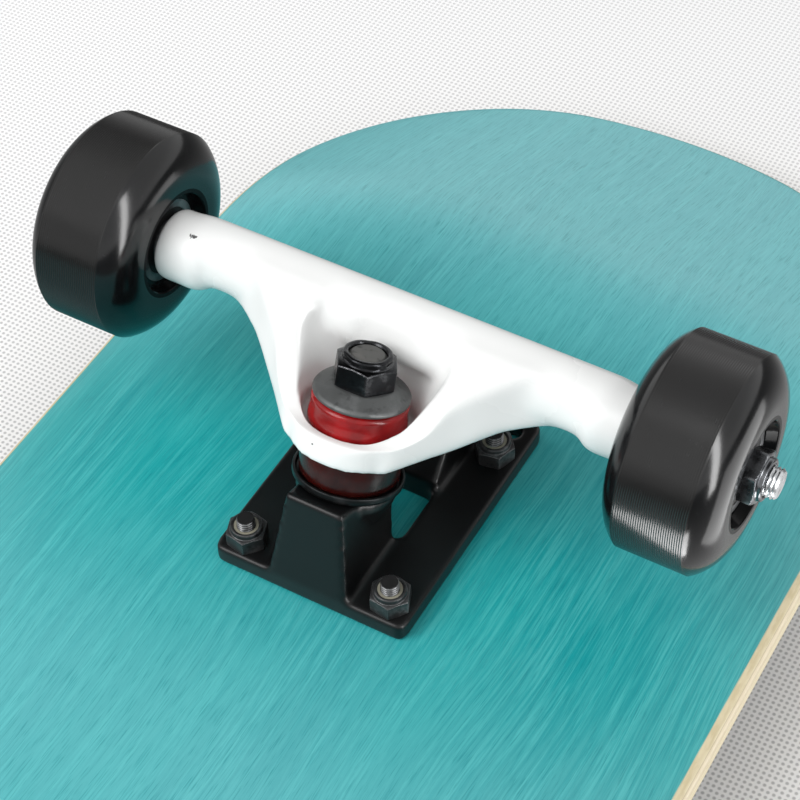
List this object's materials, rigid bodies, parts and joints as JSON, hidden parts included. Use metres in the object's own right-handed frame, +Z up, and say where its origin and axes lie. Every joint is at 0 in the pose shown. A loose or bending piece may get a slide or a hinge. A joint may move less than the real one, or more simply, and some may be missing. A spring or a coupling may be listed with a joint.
{
  "type": "skateboard",
  "caption": "Skateboard with a double-kick concave maple deck, two kingpin trucks that lean to steer on red bushings, and black urethane wheels on ball bearings.",
  "frame": {"origin": "on the floor midway between the tips of the nose and the tail, with the board standing on its wheels", "axes": "+X towards the nose, +Y to the rider's left, +Z up from the floor to the riding face"},
  "size_m": [0.8149, 0.2064, 0.126],
  "materials": {
    "deck": "stained maple under a satin lacquer",
    "grip_tape": "coarse abrasive sheet",
    "baseplate": "cast, satin black coat",
    "pivot_cup": "moulded urethane",
    "kingpin": "zinc plated, worn",
    "kingpin_nut": "black chrome",
    "washer": "blackened, worn",
    "bushing": "translucent red urethane",
    "hanger": "cast, gloss white coat",
    "axle": "ground, threaded ends",
    "axle_nut": "dark chrome",
    "speed_washer": "zinc plated",
    "mounting_hardware": "blackened, worn on top",
    "wheel": "cast urethane, turned tread",
    "bearing": "ground",
    "bearing_shield": "blackened"
  },
  "bodies": {
    "board": {"deck": "deck", "grip_tape": "grip_tape", "front_baseplate": "baseplate", "front_pivot_cup": "pivot_cup", "front_kingpin": "kingpin", "front_kingpin_nut": "kingpin_nut", "front_lower_washer": "washer", "front_lower_bushing": "bushing", "front_upper_bushing": "bushing", "front_upper_washer": "washer", "front_mounting_bolts": "mounting_hardware", "front_mounting_nuts": "mounting_hardware", "rear_baseplate": "baseplate", "rear_pivot_cup": "pivot_cup", "rear_kingpin": "kingpin", "rear_kingpin_nut": "kingpin_nut", "rear_lower_washer": "washer", "rear_lower_bushing": "bushing", "rear_upper_bushing": "bushing", "rear_upper_washer": "washer", "rear_mounting_bolts": "mounting_hardware", "rear_mounting_nuts": "mounting_hardware"},
    "front_truck": {"front_hanger": "hanger", "front_axle": "axle", "front_axle_nuts": "axle_nut", "front_speed_washers": "speed_washer", "front_left_bearing_cones": "bearing", "front_right_bearing_cones": "bearing"},
    "rear_truck": {"rear_hanger": "hanger", "rear_axle": "axle", "rear_axle_nuts": "axle_nut", "rear_speed_washers": "speed_washer", "rear_left_bearing_cones": "bearing", "rear_right_bearing_cones": "bearing"},
    "front_left_roller": {"front_left_wheel": "wheel", "front_left_bearing_cups": "bearing", "front_left_bearing_balls": "bearing", "front_left_bearing_shields": "bearing_shield"},
    "front_right_roller": {"front_right_wheel": "wheel", "front_right_bearing_cups": "bearing", "front_right_bearing_balls": "bearing", "front_right_bearing_shields": "bearing_shield"},
    "rear_left_roller": {"rear_left_wheel": "wheel", "rear_left_bearing_cups": "bearing", "rear_left_bearing_balls": "bearing", "rear_left_bearing_shields": "bearing_shield"},
    "rear_right_roller": {"rear_right_wheel": "wheel", "rear_right_bearing_cups": "bearing", "rear_right_bearing_balls": "bearing", "rear_right_bearing_shields": "bearing_shield"}
  },
  "joints": [
    {"name": "front_steer", "type": "hinge", "parent": "board", "child": "front_truck", "pos_m": [0.2325, 0, 0.0625], "axis": [0.8547, 0, 0.5191], "range_deg": [-12, 12], "stiffness_Nm_per_rad": 30, "deforming": ["front_lower_bushing", "front_upper_bushing"]},
    {"name": "rear_steer", "type": "hinge", "parent": "board", "child": "rear_truck", "pos_m": [-0.2415, 0, 0.0625], "axis": [-0.8547, 0, 0.5191], "range_deg": [-12, 12], "stiffness_Nm_per_rad": 30, "deforming": ["rear_lower_bushing", "rear_upper_bushing"]},
    {"name": "front_left_spin", "type": "hinge", "parent": "front_truck", "child": "front_left_roller", "pos_m": [0.2189, 0.0793, 0.0275], "axis": [0, 1, 0], "continuous": true},
    {"name": "front_right_spin", "type": "hinge", "parent": "front_truck", "child": "front_right_roller", "pos_m": [0.2189, -0.0793, 0.0275], "axis": [0, 1, 0], "continuous": true},
    {"name": "rear_left_spin", "type": "hinge", "parent": "rear_truck", "child": "rear_left_roller", "pos_m": [-0.2279, 0.0793, 0.0275], "axis": [0, 1, 0], "continuous": true},
    {"name": "rear_right_spin", "type": "hinge", "parent": "rear_truck", "child": "rear_right_roller", "pos_m": [-0.2279, -0.0793, 0.0275], "axis": [0, 1, 0], "continuous": true}
  ]
}
